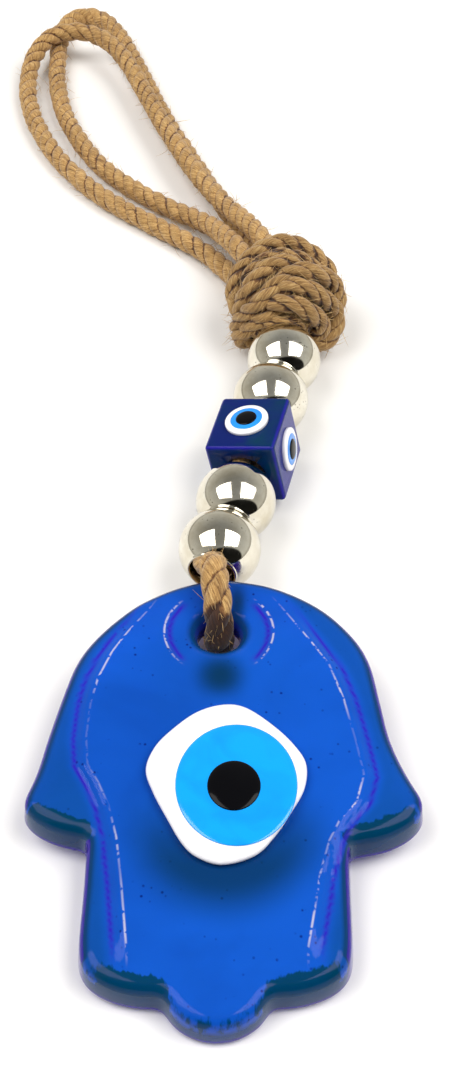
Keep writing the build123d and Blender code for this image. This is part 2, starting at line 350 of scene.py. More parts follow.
def add_scaled(nodes, links, vector, scale):
    mapping = nodes.new("ShaderNodeMapping")
    mapping.inputs["Scale"].default_value = scale
    links.new(vector, mapping.inputs["Vector"])
    return mapping.outputs["Vector"]


def add_bump(nodes, links, height, strength, distance, normal=None):
    bump = nodes.new("ShaderNodeBump")
    set_inputs(bump, {"Strength": strength, "Distance": distance})
    links.new(height, bump.inputs["Height"])
    if normal is not None:
        links.new(normal, bump.inputs["Normal"])
    return bump.outputs["Normal"]


def add_attribute(nodes, name):
    """The outputs of a value that the mesh carries."""
    attribute = nodes.new("ShaderNodeAttribute")
    attribute.attribute_name = name
    return attribute.outputs


def add_parts(nodes, links, vector):
    parts = nodes.new("ShaderNodeSeparateXYZ")
    links.new(vector, parts.inputs[0])
    return parts.outputs


def add_uneven(nodes, links, value, noise, share):
    """The value plus a share of the noise."""
    uneven = nodes.new("ShaderNodeMath")
    uneven.operation = "MULTIPLY_ADD"
    links.new(noise, uneven.inputs[0])
    uneven.inputs[1].default_value = share
    links.new(value, uneven.inputs[2])
    return uneven.outputs[0]


def add_specks(nodes, links, place, colour, scale, dark, size, patches):
    """Small dark specks over a colour, where the noise called patches is high."""
    speck = nodes.new("ShaderNodeTexVoronoi")
    speck.inputs["Scale"].default_value = scale
    links.new(place, speck.inputs["Vector"])
    dots = add_ramp(nodes, links, speck.outputs["Distance"], [(0.10, dark), (size, 1)])
    where = add_ramp(nodes, links, patches, [(0.52, 0), (0.6, 1)])
    return add_mix(nodes, links, where, colour, add_mix(nodes, links, 1.0, colour, dots, "MULTIPLY"))


def jute_material(name, light):
    """Natural jute: fibres that run along each ply, with dark flecks and pale strands, and painted shade
    deep in the grooves between the plies.
    """
    material, nodes, links, shader = new_material(name)
    fibre = add_attribute(nodes, "fibre")["Vector"]
    along = add_scaled(nodes, links, fibre, (0.09, 1, 1))
    fine = add_noise(nodes, links, along, 4200, 4, 0.65)
    broad = add_noise(nodes, links, along, 1300, 3, 0.6)
    patches = add_noise(nodes, links, add_scaled(nodes, links, fibre, (0.5, 1, 1)), 260, 2)
    tans = [(0.30, (0.14, 0.064, 0.018)), (0.42, (0.44, 0.245, 0.075)), (0.55, (0.66, 0.41, 0.15)),
            (0.70, (0.90, 0.67, 0.32))]
    tans = [(place, tuple(light * part for part in colour)) for place, colour in tans]
    tan = add_ramp(nodes, links, fine, tans)
    shade = add_ramp(nodes, links, broad, [
        (0.3, (0.45, 0.38, 0.32)), (0.46, (0.95, 0.93, 0.9)), (0.7, 1),
    ])
    tone = add_ramp(nodes, links, patches, [(0.3, (0.82, 0.78, 0.7)), (0.7, (1.05, 1.03, 1.0))])
    colour = add_mix(nodes, links, 1.0, tan, shade, "MULTIPLY")
    colour = add_mix(nodes, links, 1.0, colour, tone, "MULTIPLY")
    # painted shade: the colour darkens deep in the grooves between the plies, made uneven by a noise
    groove_shade_noise = add_noise(nodes, links, add_scaled(nodes, links, fibre, (0.6, 1, 1)), 900, 2)
    depth = add_uneven(nodes, links, add_attribute(nodes, "groove")["Fac"], groove_shade_noise, 0.45)
    groove_shade = add_ramp(nodes, links, depth, [
        (0.84, (0.09, 0.045, 0.02)), (0.94, (0.42, 0.30, 0.20)), (1.0, 1),
    ])
    colour = add_mix(nodes, links, 1.0, colour, groove_shade, "MULTIPLY")
    links.new(colour, shader.inputs["Base Color"])
    set_inputs(shader, {"Roughness": 0.82, "Sheen Weight": 0.25, "Sheen Roughness": 0.5})
    coarse = add_bump(nodes, links, broad, 0.9, 0.35 * MM)
    links.new(add_bump(nodes, links, fine, 0.7, 0.12 * MM, coarse), shader.inputs["Normal"])
    return material


def fibre_material():
    """The loose hairs of the rope."""
    material, nodes, links, shader = new_material("jute_fibres")
    place = nodes.new("ShaderNodeTexCoord").outputs["Object"]
    tone = add_noise(nodes, links, place, 500, 1)
    colour = add_ramp(nodes, links, tone, [(0.35, (0.36, 0.20, 0.07)), (0.6, (0.68, 0.46, 0.20))])
    links.new(colour, shader.inputs["Base Color"])
    shader.inputs["Roughness"].default_value = 0.8
    return material


def moulded_zones(nodes, links, colour):
    """Painted shade: deeper colour where light crosses more glass. The attribute's X gives the painted
    violet creases and edges, Y how far down a wall a point is, for the painted teal walls and violet
    edges, and Z how much painted shadow lies in the glass."""
    zone = add_parts(nodes, links, add_attribute(nodes, "zone")["Vector"])
    # painted shadow in the glass
    shaded = add_ramp(nodes, links, zone["Z"], [(0.0, 0), (1.0, 0.95)])
    colour = add_mix(nodes, links, shaded, colour, (0.002, 0.045, 0.115))
    # painted teal shade down the walls
    wall = add_ramp(nodes, links, zone["Y"], [(0.03, 0), (0.25, 0.9)])
    colour = add_mix(nodes, links, wall, colour, (0.003, 0.060, 0.17))
    # painted violet at the walls' far edges
    edge = add_ramp(nodes, links, zone["Y"], [(0.46, 0), (0.6, 0.95)])
    colour = add_mix(nodes, links, edge, colour, (0.030, 0.004, 0.40))
    # painted violet along the creases and edges, and over the cube's right side
    return add_mix(nodes, links, zone["X"], colour, (0.04, 0.012, 0.60))


def brinks(nodes, links, place, colour):
    """Painted teal shade with a ragged edge over the walls that face the hand's foot, by the attribute's X,
    and a tinge of it outside the palm's step, by its Y."""
    brink = add_parts(nodes, links, add_attribute(nodes, "brink")["Vector"])
    rags = add_noise(nodes, links, add_scaled(nodes, links, place, (1, 0.35, 0.35)), 620, 3, 0.65)
    ragged = add_uneven(nodes, links, brink["X"], rags, 0.75)
    # painted shade: the patch over the foot's walls and the tinge outside the palm's step
    patch = add_ramp(nodes, links, ragged, [(0.72, 0), (0.82, 0.92)])
    tinge = add_ramp(nodes, links, brink["Y"], [(0.0, 0), (1.0, 0.5)])
    colour = add_mix(nodes, links, tinge, colour, (0.004, 0.085, 0.26))
    return add_mix(nodes, links, patch, colour, (0.0, 0.060, 0.105))


def step_highlights(nodes, links, place, colour):
    """Thin broken lines of light along the crests of the moulded steps. The attribute's X and Y are
    0.5 on the palm's line and on the dish's, and change by 1/40 for a millimetre away from them. Its Z
    is how strong the lines are."""
    crest = add_parts(nodes, links, add_attribute(nodes, "crest")["Vector"])
    gaps = add_ramp(nodes, links, add_noise(nodes, links, place, 700, 1), [(0.42, 0), (0.50, 1)])
    stretch = add_ramp(nodes, links, add_noise(nodes, links, place, 55, 1), [(0.38, 0.12), (0.56, 1)])
    broken = add_mix(nodes, links, 1.0, gaps, stretch, "MULTIPLY")
    for output in ("X", "Y"):
        line = add_ramp(nodes, links, crest[output], [(0.492, 0), (0.498, 1), (0.502, 1), (0.508, 0)])
        line = add_mix(nodes, links, 1.0, line, broken, "MULTIPLY")
        line = add_mix(nodes, links, 1.0, line, crest["Z"], "MULTIPLY")
        colour = add_mix(nodes, links, line, colour, (0.75, 0.75, 0.95))
    return colour


def glass_material(name, body, deep, absorption, density, translucency, index, gloss, cloud_scale, moulded):
    """Coloured glass: its colour deepens with the length of glass that light crosses, and painted shade,
    shadows and highlights from the mesh's attributes lie over it. Seeds and faint flow lines are inside
    it, and its fire-polished skin is very slightly uneven."""
    material, nodes, links, shader = new_material(name)
    place = nodes.new("ShaderNodeTexCoord").outputs["Object"]
    cloud = add_noise(nodes, links, place, cloud_scale, 3, 0.5, 0.4)
    colour = add_ramp(nodes, links, cloud, [(0.35, deep), (0.62, body)])
    if moulded:
        patches = add_noise(nodes, links, place, 160, 2)
        colour = add_specks(nodes, links, place, colour, 520, (0.25, 0.25, 0.4), 0.2, patches)
        colour = brinks(nodes, links, place, colour)
    colour = moulded_zones(nodes, links, colour)
    if moulded:
        colour = step_highlights(nodes, links, place, colour)
    links.new(colour, shader.inputs["Base Color"])
    set_inputs(shader, {
        "Roughness": 0.06, "IOR": index, "Transmission Weight": translucency, "Specular IOR Level": gloss,
        "Specular Tint": (0.62, 0.55, 1.0, 1),
    })
    swell = add_noise(nodes, links, place, 90, 2)
    links.new(add_bump(nodes, links, swell, 0.12, 0.6 * MM), shader.inputs["Normal"])
    volume = nodes.new("ShaderNodeVolumeAbsorption")
    set_inputs(volume, {"Color": (*absorption, 1), "Density": density})
    links.new(volume.outputs["Volume"], nodes["Material Output"].inputs["Volume"])
    return material


def enamel_material(name, colour, shade, roughness=0.12, coat=0.3, gloss=0.4):
    """Opaque poured glass with a soft cloudiness and a polished skin."""
    material, nodes, links, shader = new_material(name)
    place = nodes.new("ShaderNodeTexCoord").outputs["Object"]
    cloud = add_noise(nodes, links, place, 120, 2, 0.5, 0.8)
    links.new(add_ramp(nodes, links, cloud, [(0.35, shade), (0.65, colour)]), shader.inputs["Base Color"])
    set_inputs(shader, {
        "Roughness": roughness, "Coat Weight": coat, "Specular IOR Level": gloss, "Coat Roughness": 0.05,
    })
    links.new(add_bump(nodes, links, cloud, 0.08, 0.3 * MM), shader.inputs["Normal"])
    return material


def silver_material():
    """Bright silver plating with fine scratches, small pits and a little warm tarnish."""
    material, nodes, links, shader = new_material("silver_plating")
    place = nodes.new("ShaderNodeTexCoord").outputs["Object"]
    film = add_noise(nodes, links, place, 130, 4, 0.6)
    tone = add_ramp(nodes, links, film, [(0.3, (0.60, 0.55, 0.43)), (0.62, (0.80, 0.77, 0.67))])
    patches = add_noise(nodes, links, place, 260, 3)
    colour = add_specks(nodes, links, place, tone, 900, (0.2, 0.17, 0.12), 0.22, patches)
    links.new(colour, shader.inputs["Base Color"])
    shader.inputs["Metallic"].default_value = 1.0
    rough = add_ramp(nodes, links, film, [(0.35, 0.04), (0.75, 0.14)])
    links.new(rough, shader.inputs["Roughness"])
    links.new(add_bump(nodes, links, film, 0.05, 0.2 * MM), shader.inputs["Normal"])
    return material


# each copy's number is how bright it is: the knot's wound turns are darker, and jute_in_shade is painted
# shade for the knot's core
jute = jute_material("jute", 0.86)
wound_jute = jute_material("wound_jute", 0.66)
core_shade_jute = jute_material("jute_in_shade", 0.2)
loose_jute = fibre_material()
silver = silver_material()
blue_glass = glass_material(
    "cobalt_glass", body=(0.008, 0.135, 0.78), deep=(0.006, 0.105, 0.62), absorption=(0.10, 0.55, 0.98),
    density=25, translucency=0.4, index=1.36, gloss=0.16, cloud_scale=38, moulded=True)
cube_glass = glass_material(
    "dark_cobalt_glass", body=(0.004, 0.018, 0.17), deep=(0.001, 0.045, 0.105), absorption=(0.06, 0.35, 0.8),
    density=60, translucency=0.3, index=1.28, gloss=0.4, cloud_scale=85, moulded=False)
white_glass = enamel_material("white_enamel", (0.93, 0.93, 0.95), (0.89, 0.89, 0.93))
sky_glass = enamel_material("sky_blue_enamel", (0.0, 0.345, 0.95), (0.0, 0.29, 0.86))
cube_blue = enamel_material("cube_blue_enamel", (0.012, 0.30, 0.90), (0.008, 0.24, 0.8))
black_glass = enamel_material(
    "black_enamel", (0.003, 0.003, 0.004), (0.002, 0.002, 0.003), roughness=0.1, coat=0.0, gloss=0.12)


# ---------------------------------------------------------------- camera, light and floor
CAMERA_PLACE = (0.0020, -0.2586, 0.2956)
CAMERA_DIRECTION = (0, 0.683, -0.730)
# each window's place across the table, its power and its colour
WINDOWS = {"window_right": (1.20, 36.0, (1, 0.98, 0.95)), "window_left": (-1.14, 30.0, (1, 0.98, 0.96))}
TABLE_HALF = 4.0


def add_camera():
    data = bpy.data.cameras.new("camera")
    data.lens = 53.33
    data.sensor_width = 36
    camera = bpy.data.objects.new("camera", data)
    bpy.context.scene.collection.objects.link(camera)
    camera.location = CAMERA_PLACE
    camera.rotation_euler = Vector(CAMERA_DIRECTION).to_track_quat("-Z", "Y").to_euler()
    data.clip_start = 0.01
    bpy.context.scene.camera = camera


def add_window(name, across, power, colour):
    """A wide soft light that shines straight down."""
    data = bpy.data.lights.new(name, "AREA")
    data.shape = "RECTANGLE"
    data.size, data.size_y = 1.6, 1.35
    data.energy = power
    data.color = colour
    light = bpy.data.objects.new(name, data)
    light.location = (across, -0.26, 1.5)
    light.rotation_euler = Vector((0, 0, -1)).to_track_quat("-Z", "Y").to_euler()
    bpy.context.scene.collection.objects.link(light)


def add_surroundings():
    """A pale room round the table: bright above, darker towards where a person would stand."""
    world = bpy.data.worlds.new("room")
    bpy.context.scene.world = world
    world.use_nodes = True
    nodes, links = world.node_tree.nodes, world.node_tree.links
    direction = nodes.new("ShaderNodeTexCoord").outputs["Generated"]
    sky = add_ramp(nodes, links, add_parts(nodes, links, direction)["Z"], [
        (0.0, (0.50, 0.48, 0.43)), (0.12, (0.80, 0.78, 0.72)), (0.5, (0.58, 0.57, 0.53)),
        (0.88, (0.32, 0.32, 0.31)),
    ])
    wide = nodes.new("ShaderNodeVectorMath")
    wide.operation = "NORMALIZE"
    links.new(add_scaled(nodes, links, direction, (0.5, 1, 1)), wide.inputs[0])
    towards = nodes.new("ShaderNodeVectorMath")
    towards.operation = "DOT_PRODUCT"
    links.new(wide.outputs["Vector"], towards.inputs[0])
    towards.inputs[1].default_value = Vector((0.14, -0.93, 0.28)).normalized()
    person = add_ramp(nodes, links, towards.outputs["Value"], [(0.80, 1), (0.835, 0.02)])
    links.new(add_mix(nodes, links, 1.0, sky, person, "MULTIPLY"), nodes["Background"].inputs["Color"])
    nodes["Background"].inputs["Strength"].default_value = 0.8


def add_floor():
    """A plain pale table top."""
    material, nodes, links, shader = new_material("table")
    place = nodes.new("ShaderNodeTexCoord").outputs["Object"]
    cloud = add_noise(nodes, links, place, 3, 2)
    tone = add_ramp(nodes, links, cloud, [(0.3, (0.90, 0.89, 0.88)), (0.7, 0.92)])
    links.new(tone, shader.inputs["Base Color"])
    shader.inputs["Roughness"].default_value = 0.7
    corners = [(x * TABLE_HALF, y * TABLE_HALF, 0) for x, y in ((-1, -1), (1, -1), (1, 1), (-1, 1))]
    floor = mesh_piece("table_top", corners, [(0, 1, 2, 3)], material, smooth=False)


add_camera()
add_surroundings()
add_floor()
for window, (window_across, window_power, window_colour) in WINDOWS.items():
    add_window(window, window_across, window_power, window_colour)
bpy.context.scene.view_settings.view_transform = "Standard"


# ---------------------------------------------------------------- hanging loops
def rope_piece(name, parts, material):
    """A rope's mesh, with the attributes that its material draws fibres and the painted groove shade by."""
    vertices, faces, fibre, groove = parts
    return mesh_piece(name, vertices, faces, material, attributes={"fibre": fibre, "groove": groove})


def hanging_loop(which, route, phase):
    """One of the two limp rope loops, and the loose fibres on it."""
    line = spline_points(route)
    vertices, *rest = laid_rope(line, ROPE_DIAMETER / 2, PITCH["loop"], phase=phase)
    rope = rope_piece(f"loop_rope_{which}", (on_floor(vertices), *rest), jute)
    hairs = loose_fibres(line, ROPE_DIAMETER / 2, 520, 4.5 * MM)
    hairs = mesh_piece(f"loop_fibres_{which}", *hairs, loose_jute)
    for piece in (rope, hairs):
        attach(piece, "string")
    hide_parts(f"hanging_loop_{which}")


hanging_loop("outer", OUTER_LOOP_ROUTE, 0.4)
hanging_loop("inner", INNER_LOOP_ROUTE, 1.7)


# ---------------------------------------------------------------- the string
def string_point(place, right=0.0, up=0.0):
    return LOWEST_BEAD + STRING_DIRECTION * place + STRING_SIDE * right + STRING_UP * up


def strand_offset(side):
    """The two strands lie side by side, the pair rolled to the left."""
    return -side * sin(STRAND_ROLL) * STRAND_SPREAD, side * cos(STRAND_ROLL) * STRAND_SPREAD


def bead_ropes():
    """The two strands through the beads, from under the first bead into the knot."""
    for name, side in (("front", 1), ("back", -1)):
        right, up = strand_offset(side)
        line = np.array([string_point(-6.0 * MM, right, up), string_point(88.0 * MM, right, up)])
        parts = laid_rope(line, STRAND_RADIUS, PITCH["strand"], phase=side)
        rope = rope_piece(f"bead_rope_{name}", parts, jute)
        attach(rope, "string")
        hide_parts(f"bead_strand_{name}")


def hand_point(across, along, height):
    """A point given in the hand's own plane, metres."""
    return HAND_ORIGIN + np.array([across, along, height]) @ HAND_AXES


def web_point(angle, radius):
    """A point on the ring round the web of glass: 0 degrees towards the first bead, 90 in front."""
    turn = radians(angle)
    across = WEB_CENTRE[0] - sin(WEB_LEAN) * radius * cos(turn)
    along = WEB_CENTRE[1] + cos(WEB_LEAN) * radius * cos(turn)
    return hand_point(across, along, WEB_CENTRE[2] + radius * sin(turn))


def web_rope():
    """The bight: out of the first bead, over the glass edge, through the hole and back underneath."""
    front = [string_point(place * MM, *strand_offset(1)) for place in (-3.0, -7.5)]
    back = [string_point(place * MM, *strand_offset(-1)) for place in (-7.5, -3.0)]
    over = [web_point(angle, 9.7 * MM) for angle in (36, 62, 90, 118, 146)]
    under = [web_point(angle, 9.3 * MM) for angle in (180, 214, 245, 275, 305, 328)]
    line = through(front + over + under + back)
    vertices, faces, fibre, groove = laid_rope(
        line, WEB_ROPE_RADIUS, PITCH["web"], phase=2.2, stretch=(np.array([1.0, 0, 0]), 1.2))
    along_hand = ((vertices - HAND_ORIGIN) @ HAND_AXES.T)[:, 1:2] / MM
    groove = groove * (0.2 + 0.8 * smooth_step(91, 99.5, along_hand))      # its low end is in shadow
    rope = rope_piece("web_rope", (on_floor(vertices), faces, fibre, groove), jute)
    in_the_open = line[12:90]
    hairs = loose_fibres(in_the_open, 2.9 * MM, 170, 3.2 * MM)
    hairs = mesh_piece("web_rope_fibres", *hairs, loose_jute)
    for piece in (rope, hairs):
        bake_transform(piece)
    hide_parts("hand_loop")


# the knot's turns: degrees round the string's line from the top towards the right, degrees from the
# loops' end towards the bead's end, and millimetres above the core
KNOT_TURNS = {
    "collar": (2.6, True, [
        (-95, 116, 0), (-90, 99, 0.6), (-78, 86, 1.0), (-64, 73, 0.8), (-46, 61, 0.9), (-23, 52, 1.2),
        (1, 48, 1.2), (24, 50, 0.6), (42, 55, 0.3), (58, 62, 0.2), (72, 70, 0), (95, 84, -0.5),
        (130, 96, -0.5), (165, 102, -0.5), (200, 104, -0.5), (235, 112, -0.5),
    ]),
    "left_outer": (2.5, False, [
        (-150, 112, -1.5), (-112, 122, -0.5), (-84, 122, 0), (-54, 119, 0.2), (-36, 111, 0.4),
        (-21, 102, 0.4), (-6, 95, 0.2), (8, 90, -0.8), (20, 84, -3.5),
    ]),
    "left_inner": (2.5, False, [
        (-155, 116, -1), (-117, 120, 2.0), (-93, 131, 0.6), (-52, 140, 0.3), (-24, 134, 0.5),
        (-9, 124, 0.3), (2, 115, -0.8), (10, 106, -3.5),
    ]),
    "left_lobe": (2.3, False, [
        (-165, 118, 1), (-135, 122, 3.6), (-123, 126, 3.6), (-113, 138, 1.5), (-85, 152, 0),
        (-55, 158, -0.4), (-30, 156, -1.5), (-10, 150, -3.5),
    ]),
    "right_upper": (2.6, False, [
        (-4, 112, -3), (8, 107, -0.3), (24, 101, 0.4), (41, 96, 0.6), (59, 89, 0.5), (80, 84, 0.8),
        (92, 92, 1.2), (110, 102, 0), (140, 112, -1), (170, 116, -2),
    ]),
    "right_middle": (2.4, False, [
        (-14, 132, -3), (1, 127, 0), (17, 122, 0.4), (37, 119, 0.4), (58, 116, 0.2), (80, 108, 0.4),
        (98, 102, 1.6), (109, 108, 3.2), (119, 115, 4.0), (130, 122, 3.6), (150, 132, 1), (175, 138, -1.5),
    ]),
    "right_lower": (2.6, False, [
        (-30, 148, -3.5), (-12, 145, -0.2), (8, 144, 0.4), (37, 142, 0.5), (66, 138, 0.3), (96, 128, 0.2),
        (116, 124, 0.6), (140, 128, -0.5), (165, 134, -2),
    ]),
    "crease": (2.4, False, [
        (-84, 100, -3), (-66, 92, -2.0), (-45, 80, -1.6), (-22, 72, -1.4), (0, 70, -1.5), (22, 72, -1.6),
        (45, 76, -2.0), (62, 80, -3),
    ]),
    "seat": (2.2, False, [
        (-100, 158, -1.5), (-66, 166, -0.6), (-30, 170, 0), (20, 170, 0), (60, 164, -0.4), (100, 154, -1.2),
    ]),
    "crown": (2.5, True, [
        (0, 26, -1.0), (60, 30, -1.2), (120, 34, -1.2), (180, 32, -1.2), (240, 32, -1.2), (300, 28, -1.2),
    ]),
    "under_upper": (2.5, False, [
        (70, 52, -3), (98, 58, -0.5), (140, 62, -0.5), (180, 64, -0.5), (220, 62, -0.5), (262, 60, -0.5),
        (292, 54, -3),
    ]),
    "under_lower": (2.5, False, [
        (95, 142, -3), (130, 150, -0.5), (180, 146, -0.5), (225, 150, -0.5), (262, 150, -0.8), (285, 158, -3),
    ]),
}
KNOT_MIDDLE = np.array([16.6, 98.9, 14.2]) * MM      # the wound rope lies a little lower than its egg
KNOT_CORE = np.array([13.6, 15.2, 12.1]) * MM
TOP_BEAD = string_point(BEAD_PLACES[-1])


def knot_point(turn, reach, lift):
    """A point over the knot's core."""
    around, away = radians(turn), radians(reach)
    on_core = np.array([sin(away) * sin(around), cos(away), sin(away) * cos(around)])
    point = on_core * (KNOT_CORE + lift * MM)
    across = point[0] * cos(KNOT_YAW) + point[1] * sin(KNOT_YAW)
    along = point[1] * cos(KNOT_YAW) - point[0] * sin(KNOT_YAW)
    return KNOT_MIDDLE + [across, along, point[2]]


def off_the_bead(vertices):
    """Rope pressed out of the top bead's ball."""
    away = vertices - TOP_BEAD
    distance = np.linalg.norm(away, axis=1, keepdims=True)
    wanted = np.maximum(distance, BEAD_RADIUS + 0.2 * MM)
    return TOP_BEAD + away / distance * wanted


def joined(meshes):
    """Several meshes' vertices and faces as one."""
    vertices, faces, base = [], [], 0
    for some_vertices, some_faces in meshes:
        vertices.append(some_vertices)
        faces += [tuple(base + k for k in face) for face in some_faces]
        base += len(some_vertices)
    return np.concatenate(vertices), faces


def knot_rope():
    """The wound turns of the big knot, joined as one piece, over a core whose near-black jute is painted
    shade where it shows between them, and its loose fibres.
    """
    turns, hairs, fibre, groove = [], [], [], []
    for number, (radius, closed, route) in enumerate(KNOT_TURNS.values()):
        line = through([knot_point(*place) for place in route], closed)
        vertices, faces, some_fibre, some_groove = laid_rope(
            line, radius * MM, PITCH["knot"], closed, phase=0.9 * number, lay=OPEN_LAY)
        turns.append((vertices, faces))
        fibre.append(some_fibre + [3.1 * number, 0, 0])
        groove.append(some_groove)
        hairs.append(loose_fibres(line, radius * MM, 170, 4.2 * MM))
    vertices, faces = joined(turns)
    vertices = on_floor(off_the_bead(vertices))
    depth = np.linalg.norm((vertices - KNOT_MIDDLE) / KNOT_CORE, axis=1, keepdims=True)
    # painted shade: the turns darker where they lie close to the core
    groove = np.concatenate(groove) * (0.80 + 0.20 * smooth_step(1.04, 1.20, depth))
    knot = rope_piece("knot_rope", (vertices, faces, np.concatenate(fibre), groove), wound_jute)
    vertices, faces = ball(KNOT_CORE - 0.9 * MM, 32, 20)
    vertices = on_floor(off_the_bead(vertices + KNOT_MIDDLE))
    # the core's near-black jute is painted shade in the gaps between the turns
    core = rope_piece("knot_core", (vertices, faces, vertices, np.ones_like(vertices)), core_shade_jute)
    vertices, faces = joined(hairs)
    hairs = mesh_piece("knot_fibres", on_floor(vertices), faces, loose_jute)
    for piece in (knot, core, hairs):
        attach(piece, "string")
    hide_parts("knot")


def ball(radii, around, rings):
    """An ellipsoid's vertices and faces."""
    vertices = [(0, 0, radii[2])]
    for ring in range(1, rings):
        polar = pi * ring / rings
        for k in range(around):
            turn = 2 * pi * k / around
            direction = np.array([sin(polar) * cos(turn), sin(polar) * sin(turn), cos(polar)])
            vertices.append(tuple(radii * direction))
    vertices.append((0, 0, -radii[2]))
    faces = [(0, 1 + k, 1 + (k + 1) % around) for k in range(around)]
    for ring in range(rings - 2):
        faces += band(1 + (ring + 1) * around, 1 + ring * around, around)
    last = len(vertices) - 1
    faces += [(last, last - around + (k + 1) % around, last - around + k) for k in range(around)]
    return np.array(vertices), faces


# ---------------------------------------------------------------- glass hand
# All sizes of the hand are millimetres in its own plane. First its outline's right and left halves,
# from the top to the palm's corner.
RIGHT_HALF = {
    "arch": [(0, 110.4), (12.2, 108.0), (23.2, 102.0), (30.6, 94.2), (34.5, 86.4), (36.3, 76.0),
             (37.9, 66.0), (40.7, 57.6), (43.9, 51.0)],
    "thumb": [(43.9, 51.0), (43.6, 47.8), (40.8, 44.3), (35.2, 41.3), (27.7, 39.8)],
    "corner": [(27.7, 39.8), (27.6, 28.0), (27.4, 17.5), (26.2, 12.6), (22.6, 9.4), (16.5, 7.3), (11.0, 6.9)],
}
LEFT_HALF = {
    "arch": [(0, 110.4), (-10.4, 107.6), (-19.8, 102.0), (-27.6, 94.2), (-32.4, 86.4), (-35.4, 76.0),
             (-37.7, 66.0), (-39.4, 57.6), (-41.6, 51.0)],
    "thumb": [(-41.6, 51.0), (-41.2, 48.2), (-38.4, 45.2), (-33.6, 42.8), (-27.7, 41.4)],
    "corner": [(-27.7, 41.4), (-27.8, 30.0), (-28.0, 17.5), (-26.4, 12.0), (-21.6, 8.6), (-16.0, 7.1),
               (-11.0, 6.9)],
}
MIDDLE_TIP = [(11.0, 6.9), (8.3, 3.2), (4.4, 0.8), (0, 0), (-4.4, 0.8), (-8.3, 3.2), (-11.0, 6.9)]
# the moulded step between the rim and the raised palm
RIGHT_STEP = [(19.5, 10), (19.5, 16), (21.0, 24), (22.4, 32), (24.6, 39.7), (26.9, 44.4), (30.6, 48.6),
              (32.5, 55.2), (31.1, 64), (29.0, 74.5), (26.1, 83.8), (21.3, 91.5), (16.0, 100), (12.0, 106)]
LEFT_STEP = [(-19.0, 10), (-19.3, 16), (-20.9, 30), (-22.4, 40.5), (-24.4, 48), (-26.8, 53.4), (-29.3, 57.8),
             (-30.0, 64.5), (-29.5, 73.5), (-28.2, 80), (-25.5, 87), (-22.0, 93), (-18.0, 99), (-14.0, 106)]
PLATE_HEIGHT = 9.0               # from the back to the face outside the palm
STEP_HEIGHT = 1.15
STEP_HALF_WIDTH = 1.15
FRONT_ROUND = 3.0
BACK_ROUND = 1.8
WALL_DRAFT = 0.5
HOLE_CENTRE = np.array([0.0, 93.2])
HOLE_RADIUS = 4.85
HOLE_ROUND = 3.7
DISH_RADIUS, DISH_DEPTH = 12.2, 0.55       # the shallow dish round the hole


def smooth_step(low, high, value):
    share = np.clip((value - low) / (high - low), 0, 1)
    return share * share * (3 - 2 * share)


def plane_line(points, closed=False):
    """A smooth line through points of the hand's plane."""
    return through([(x, y, 0) for x, y in points], closed)[:, :2]


def spaced(line, step):
    """A closed line of the hand's plane with its points a step apart."""
    return evenly(np.column_stack([line, np.zeros(len(line))]), step, closed=True)[:, :2]


def hand_outline():
    """The hand's outline, evenly spaced points in millimetres, anticlockwise from above."""
    right = [plane_line(RIGHT_HALF[part])[:-1] for part in ("arch", "thumb", "corner")]
    left = [plane_line(LEFT_HALF[part])[:-1] for part in ("arch", "thumb", "corner")]
    tip = plane_line(MIDDLE_TIP)
    line = np.vstack(right + [tip] + [half[::-1] for half in reversed(left)])
    line = spaced(line[::-1], 0.9)
    for _ in range(3):  # the notches are softly rounded
        line = (np.roll(line, 1, axis=0) + 2 * line + np.roll(line, -1, axis=0)) / 4
    return line


def inset(line, distance):
    """The outline moved inwards."""
    ahead = unit(np.roll(line, -1, axis=0) - np.roll(line, 1, axis=0))
    inward = np.column_stack([-ahead[:, 1], ahead[:, 0]])
    for _ in range(4):
        inward = unit(np.roll(inward, 1, axis=0) + 2 * inward + np.roll(inward, -1, axis=0))
    return line + inward * distance


def inside(points, line):
    """Whether each point is inside the closed line."""
    x, y = points[:, 0][:, None], points[:, 1][:, None]
    ax, ay = line[:, 0][None], line[:, 1][None]
    bx, by = np.roll(line[:, 0], -1)[None], np.roll(line[:, 1], -1)[None]
    crosses = (ay > y) != (by > y)
    with np.errstate(divide="ignore", invalid="ignore"):
        crossing = ax + (y - ay) * (bx - ax) / (by - ay)
    return (crosses & (x < crossing)).sum(axis=1) % 2 == 1


def palm_step(points):
    """How far each point is inside the raised palm's edge, and how strong the step is there."""
    across, along = points[:, 0], points[:, 1]
    right, left = (np.interp(along, *np.array(step)[:, ::-1].T) for step in (RIGHT_STEP, LEFT_STEP))
    depth = np.minimum(right - across, across - left)
    strength = smooth_step(12, 20, along) * (1 - smooth_step(88, 105, along))
    return depth, strength


def from_hole(points):
    """Each point's distance from the hole's middle, and how far it is to its side, as a share."""
    offset = points - HOLE_CENTRE
    away = np.hypot(offset[:, 0], offset[:, 1])
    return away, np.abs(offset[:, 0]) / np.maximum(away, 1)


def front_height(points):
    """The height of the hand's face over its back, millimetres."""
    across, along = points[:, 0], points[:, 1]
    depth, strength = palm_step(points)
    height = PLATE_HEIGHT + STEP_HEIGHT * strength * smooth_step(-STEP_HALF_WIDTH, STEP_HALF_WIDTH, depth)
    away, sideways = from_hole(points)
    dish = 1 - smooth_step(DISH_RADIUS - 1.1, DISH_RADIUS + 0.7, away)
    height -= DISH_DEPTH * dish * smooth_step(0.45, 0.85, sideways)
    return height + 0.09 * np.sin(0.21 * across + 0.13 * along) * np.cos(0.17 * along - 0.09 * across)


